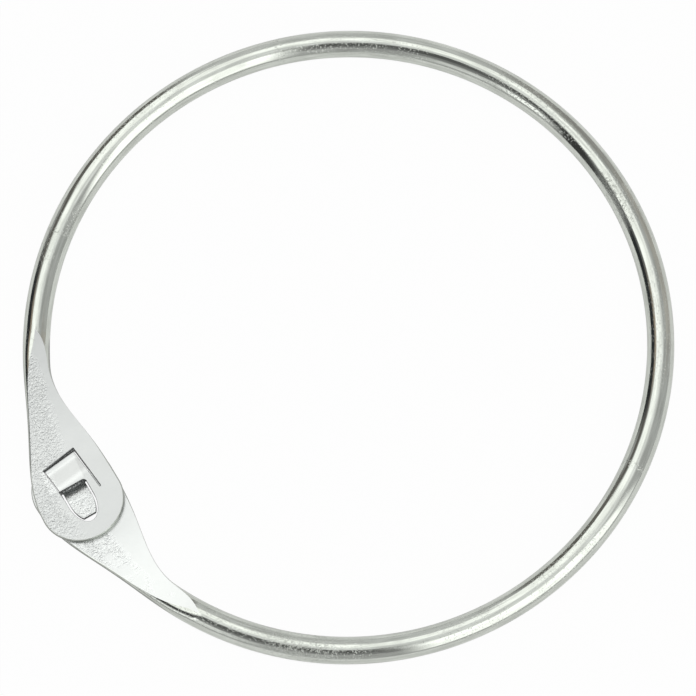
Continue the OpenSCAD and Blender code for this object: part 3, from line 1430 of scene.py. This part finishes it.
@dataclass(frozen=True)
class CoinedFace:
    """The face of a leaf as the die left it, satin with a stippled patch, under painted highlight
    and shade.

    Args:
        side: which leaf it is.
        bright: colour of the smooth part.
        dull: colour of the painted shade in the stipple's hollows, and of the darker patches of
            its random tone.
        upper: share of that brightness which the leaf with the window has, as painted shade that
            sets it darker than the leaf with the tab.
        satin: roughness of the smooth part.
        stippled: roughness of the stippled part.
        depth: height of the stipple in millimetres.
        tongue: where the tongue is, which keeps the full brightness as a painted highlight on its
            slope.
        tab: the tab's stippled top.
        near: the stippled patch beside the lap.
        far: the stippled patch further along the leaf.
        lumps: noise that breaks up those two patches.
        near_lumps: its levels at which the near patch begins and is full.
        far_lumps: the same for the far patch.
        far_share: how strong the far patch is at most.
        wobble: noise that moves the stippled half's edge.
        inward: how far inward of the middle line that edge lies.
        root: where along the leaf that edge begins to move out towards the wire.
        narrowing: how fast it does.
        neck: stretch along the leaf over which the edge moves out before the window.
        neck_shift: by how much.
        soft: half the width of the edge.
        nose: stretch along the leaf over which the stipple fades at the tip.
        nose_fade: how much of it fades.
        dents: noise of the stipple.
        pit_scale: how many pits there are to a millimetre.
        pit_size: share of their spacing over which they rise.
        grit: noise of the satin.
        broad: noise of the face's waves.
        ramp: middle, half length and soft edge of the tab's ramp along X, where painted shade
            falls.
        painted_ramp_shade: share of brightness that painted shade takes off the ramp.
        underside: heights in millimetres between which the lower face begins.
    """

    side: Side
    bright: Colour = (0.865, 0.89, 0.88)
    dull: Colour = (0.64, 0.665, 0.655)
    upper: float = 0.87
    satin: float = 0.3
    stippled: float = 0.14
    depth: float = 0.03
    tongue: Spot = Spot((-2.9, 1.5, 0.2), (0.3, 2.1, 0.2))
    tab: Spot = Spot((0.9, 2.4, 0.1), (0.0, 1.6, 0.1))
    near: Spot = Spot((6.6, 2.2, 1.2), (1.4, 1.8, 0.8))
    far: Spot = Spot((11.5, 4.2, 1.0), (0.5, 0.8, 0.5))
    lumps: Grain = Grain(0.7)
    near_lumps: Point = (0.3, 0.6)
    far_lumps: Point = (0.4, 0.7)
    far_share: float = 0.8
    wobble: Grain = Grain(0.5)
    inward: float = 0.9
    root: float = -14.0
    narrowing: float = 0.4
    neck: Point = (-5.3, -4.0)
    neck_shift: float = 2.6
    soft: float = 0.7
    nose: Point = (1.5, 4.5)
    nose_fade: float = 0.6
    dents: Grain = Grain(4.0, 2.0, 0.6, (0.35, 0.65))
    pit_scale: float = 3.4
    pit_size: float = 0.6
    grit: Grain = Grain(6.0)
    broad: Grain = Grain(0.45)
    ramp: Place = (-0.35, 0.72, 0.1)
    painted_ramp_shade: float = 0.15
    underside: Point = (-0.4, -0.5)

    def upper_patch(self, coat: Plating, along: Signal) -> Signal:
        """Where a leaf's outer half is stippled.

        Args:
            coat: the places on the ring.
            along: way along the leaf, negative towards its wire.

        Returns:
            The patch.
        """
        wobble = (coat.bench.noise(coat.at, self.wobble) - 0.5) * 2.0
        root = (self.root - along).math("MAXIMUM", 0.0) * self.narrowing
        neck = along.ramp(*self.neck) * self.neck_shift
        edge = wobble - self.inward + root + neck
        patch = (coat.off - edge).ramp(-self.soft, self.soft)
        return patch * (1 - along.ramp(*self.nose) * self.nose_fade)

    def lap_patch(self, coat: Plating) -> Signal:
        """Where the lower leaf's upper face is stippled: the tab, and patches beyond the lap.

        Args:
            coat: the places on the ring.

        Returns:
            The patch.
        """
        lumps = coat.bench.noise(coat.at, self.lumps)
        near = coat.spot(self.near) * lumps.ramp(*self.near_lumps)
        far = coat.spot(self.far) * lumps.ramp(*self.far_lumps) * self.far_share
        return coat.spot(self.tab) | near | far

    def make(self) -> bpy.types.Material:
        """Builds the material.

        Returns:
            The material.
        """
        coat = Plating(f"{self.side.value}_leaf_face")
        bench = coat.bench
        if self.side is Side.WINDOW:
            patch = self.upper_patch(coat, coat.along)
            # Painted shade darkens the leaf with the window, while its tongue keeps a painted
            # highlight
            painted_light_and_shade = coat.spot(self.tongue) * (1 - self.upper) + self.upper
        else:
            below = coat.z.ramp(*self.underside)
            outer = self.upper_patch(coat, coat.along * -1.0)
            patch = self.lap_patch(coat) * (1 - below) + outer * below
            # Painted shade darkens the tab's ramp on the leaf's upper face
            painted_light_and_shade = 1 - coat.patch(coat.x, *self.ramp) * (1 - below) * self.painted_ramp_shade
        dents = bench.noise(coat.at, self.dents)
        pits = bench.cells(coat.at, self.pit_scale).ramp(0.0, self.pit_size)
        grit = bench.noise(coat.at, self.grit)
        broad = bench.noise(coat.at, self.broad)
        # The share of each in the relief, and in the colour: painted shade in the stipple's
        # hollows, and a broad tone that varies at random
        height = (dents * 0.7 + pits * 0.3) * patch + grit * 0.06 + broad * 0.5
        rough = self.satin - patch * (self.satin - self.stippled)
        shade = (1 - dents) * patch * 0.3 + broad * 0.15
        colour = bench.colour(shade, self.bright, self.dull).scaled(painted_light_and_shade)
        return coat.dress(colour, rough, height, self.depth)


@dataclass(frozen=True)
class ShearedCut:
    """The walls of the cut-outs: sheared lines across the sheet, duller than the faces, and darker
    still by painted shade, so that slits and gaps show dark.

    Args:
        bright: colour of the sheared part, darkened by painted shade.
        dark: colour between its lines, darkened by painted shade.
        lines: noise of its lines.
        drawn: how the lines are scaled along each axis, long ones across the sheet.
        smooth: roughness between the lines.
        rough: roughness that a line adds.
        depth: height of the relief in millimetres.
    """

    bright: Colour = (0.34, 0.35, 0.35)
    dark: Colour = (0.15, 0.15, 0.15)
    lines: Grain = Grain(7.0)
    drawn: Place = (1.0, 1.0, 0.12)
    smooth: float = 0.3
    rough: float = 0.2
    depth: float = 0.02

    def make(self) -> bpy.types.Material:
        """Builds the material.

        Returns:
            The material.
        """
        coat = Plating("sheared_cut")
        lines = coat.bench.noise(coat.at.times(self.drawn), self.lines)
        # Painted shade: both colours are kept dark so that the walls of the slits and gaps show as
        # dark lines
        colour = coat.bench.colour(lines, self.dark, self.bright)
        return coat.dress(colour, lines * self.rough + self.smooth, lines, self.depth)


def seen(level: float, warm: float = 0.0) -> Colour:
    """A card's colour from the grey at which it shows in the plating, by the sRGB curve.

    Args:
        level: the grey, 0 to 255.
        warm: how much the red stands over the blue, in the same steps.

    Returns:
        The colour as the world gives it, divided by what the plating throws back.
    """
    steps = (level + warm / 2, level, level - warm / 2)
    return tuple(((v / 255 + 0.055) / 1.055) ** 2.4 / BrightWire().bright[1] for v in steps)


@dataclass(frozen=True)
class Card:
    """A soft panel or a dark card that stands round the ring, far off.

    Args:
        turn: bearing of its middle in degrees, from +X towards +Y.
        wide: its width in degrees.
        lift: height of its middle over the horizon, in degrees.
        tall: its height in degrees.
        shade: its colour.
        soft: width of its soft edge in degrees.
    """

    turn: float
    wide: float
    lift: float
    tall: float
    shade: Colour
    soft: float


@dataclass(frozen=True)
class Studio:
    """White floor and backdrop, soft panels and dark cards, and the camera.

    Args:
        wall: colour of the studio round the cards.
        zenith: its colour overhead.
        overhead: heights in degrees between which the one turns into the other.
        cards: the panels and cards, each one over those before it.
        floor_half: half the floor's side in metres.
        paper: the floor's colour in the room's light.
        floor_seen: share of pure white that the floor shows to the camera.
        floor_mirrored: share of pure white that it shows in the plating.
        distance: from the camera to the ring's centre, in millimetres.
        bearing: bearing of the camera in degrees.
        height: its height over the horizon in degrees.
        roll: its turn about its own axis in degrees.
        across: width of the picture at the ring, in millimetres.
        drop: how far the camera is moved down in its own picture, in millimetres.
        sensor: width of its sensor in millimetres.
        clip: its nearest and farthest distance in metres.
    """

    wall: Colour = seen(163)
    zenith: Colour = seen(212)
    overhead: Point = (58, 74)
    cards: tuple[Card, ...] = (
        Card(90, 34, 15, 56, seen(160, 8), 12),
        Card(118, 24, 12, 66, seen(138, 4), 10),
        Card(152, 44, 25, 54, seen(184), 12),
        Card(310, 70, 52, 20, seen(118), 10),
        Card(303, 76, 71, 26, seen(84), 9),
        Card(194, 35, 17, 50, seen(92, 6), 7),
        Card(205, 7, 8, 26, seen(150), 5),
        Card(230, 40, 15, 42, seen(44, -4), 6),
        Card(226, 26, 42, 18, seen(140, 26), 8),
        Card(245, 26, 44, 22, seen(95), 8),
        Card(254, 10, 16, 40, seen(145), 6),
        Card(267, 15, 24, 74, seen(58), 5),
        Card(190, 128, 63, 29, (1.25, 1.25, 1.23), 8),
        Card(183, 24, 41, 18, (1.25, 1.25, 1.23), 6),
        Card(95, 70, 74, 9, seen(226), 6),
        Card(284, 12, 27, 25, (1.35, 1.35, 1.35), 4),
        Card(299, 18, 25, 24, seen(212), 8),
        Card(14, 57, 40, 57, (1.5, 1.5, 1.48), 11),
    )
    floor_half: float = 3.0
    paper: Colour = (0.9, 0.9, 0.9)
    floor_seen: float = 0.97
    floor_mirrored: float = 0.3
    distance: float = 450.0
    bearing: float = -24.55
    height: float = 76.2
    roll: float = 5.6
    across: float = 81.4
    drop: float = 0.76
    sensor: float = 36.0
    clip: Point = (0.01, 100.0)

    def light(self) -> None:
        """Paints the cards on the world by direction. The camera sees plain white."""
        world = bpy.data.worlds.new("studio")
        world.use_nodes = True
        bpy.context.scene.world = world
        bench = Bench(world.node_tree)
        way = bench.signal(bench.node("ShaderNodeTexCoord").outputs["Generated"])
        x, y, z = (way.part(axis) for axis in "XYZ")
        bearing = y.math("ARCTAN2", x) * math.degrees(1)
        lift = z.math("ARCSINE") * math.degrees(1)
        shade = bench.colour(lift.ramp(*self.overhead), self.wall, self.zenith)
        for card in self.cards:
            half, soft = card.wide / 2, card.soft / 2
            side = (bearing - card.turn).math("PINGPONG", 180.0).ramp(half + soft, half - soft)
            half = card.tall / 2
            level = abs(lift - card.lift).ramp(half + soft, half - soft)
            shade = bench.colour(side * level, shade, card.shade)
        eye = bench.signal(bench.node("ShaderNodeLightPath").outputs["Is Camera Ray"])
        shown = bench.colour(eye, shade, WHITE)
        sky = bench.node("ShaderNodeBackground", {}, {"Color": shown, "Strength": 1.0})
        bench.node("ShaderNodeOutputWorld", {}, {"Surface": sky.outputs["Background"]})

    def floor(self, level: float) -> None:
        """Lays a white floor under the ring.

        Args:
            level: its height in metres.
        """
        mesh = bpy.data.meshes.new("floor")
        r = self.floor_half
        corners = [(x, y, level) for x, y in ((-r, -r), (r, -r), (r, r), (-r, r))]
        mesh.from_pydata(corners, [], [(0, 1, 2, 3)])
        floor = put("floor", mesh)
        paper = bpy.data.materials.new("white_paper")
        paper.use_nodes = True
        bench = Bench(paper.node_tree)
        matt = bench.node("ShaderNodeBsdfDiffuse", {}, {"Color": (*self.paper, 1.0)})
        glow = bench.node("ShaderNodeEmission", {}, {"Color": (*WHITE, 1.0), "Strength": 1.0})
        path = bench.node("ShaderNodeLightPath")
        eye, mirror, through = (
            bench.signal(path.outputs[f"Is {ray} Ray"])
            for ray in ("Camera", "Glossy", "Transmission")
        )
        white = eye * self.floor_seen | mirror * self.floor_mirrored | through * self.floor_seen
        mixed = bench.node(
            "ShaderNodeMixShader", {}, {0: white, 1: matt.outputs[0], 2: glow.outputs[0]}
        )
        bench.node("ShaderNodeOutputMaterial", {}, {"Surface": mixed.outputs[0]})
        mesh.materials.append(paper)

    def camera(self) -> None:
        """Stands the camera over the ring."""
        lens = bpy.data.cameras.new("camera")
        lens.sensor_width = self.sensor
        lens.lens = self.sensor * self.distance / self.across
        lens.clip_start, lens.clip_end = self.clip
        eye = put("camera", lens)
        a, e = math.radians(self.bearing), math.radians(self.height)
        away = Vector((math.cos(e) * math.cos(a), math.cos(e) * math.sin(a), math.sin(e)))
        level = (-away).to_track_quat("-Z", "Y")
        turn = Quaternion(away, math.radians(-self.roll)) @ level
        eye.location = (away * self.distance - turn @ Vector((0, self.drop, 0))) * MM
        eye.rotation_mode = "QUATERNION"
        eye.rotation_quaternion = turn
        bpy.context.scene.camera = eye

    def build(self) -> None:
        """Sets up the floor, the light, the camera and the view."""
        self.light()
        self.floor(CAD_BOX[0].z)
        self.camera()
        bpy.context.scene.view_settings.view_transform = "Standard"


def main() -> None:
    """Builds the ring, its finishes and its studio."""
    finishes = {
        Finish.WIRE: BrightWire().make(),
        Finish.WINDOW_FACE: CoinedFace(Side.WINDOW).make(),
        Finish.TAB_FACE: CoinedFace(Side.TAB).make(),
        Finish.CUT: ShearedCut().make(),
    }
    ring = KeyRing(Sizes(), finishes).build()
    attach(ring, "root")
    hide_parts(NODE)
    log.info("%s stands for %s", ring.name, NODE)
    Studio().build()


if __name__ == "__main__":
    logging.basicConfig(level=logging.INFO, format="%(message)s")
    main()
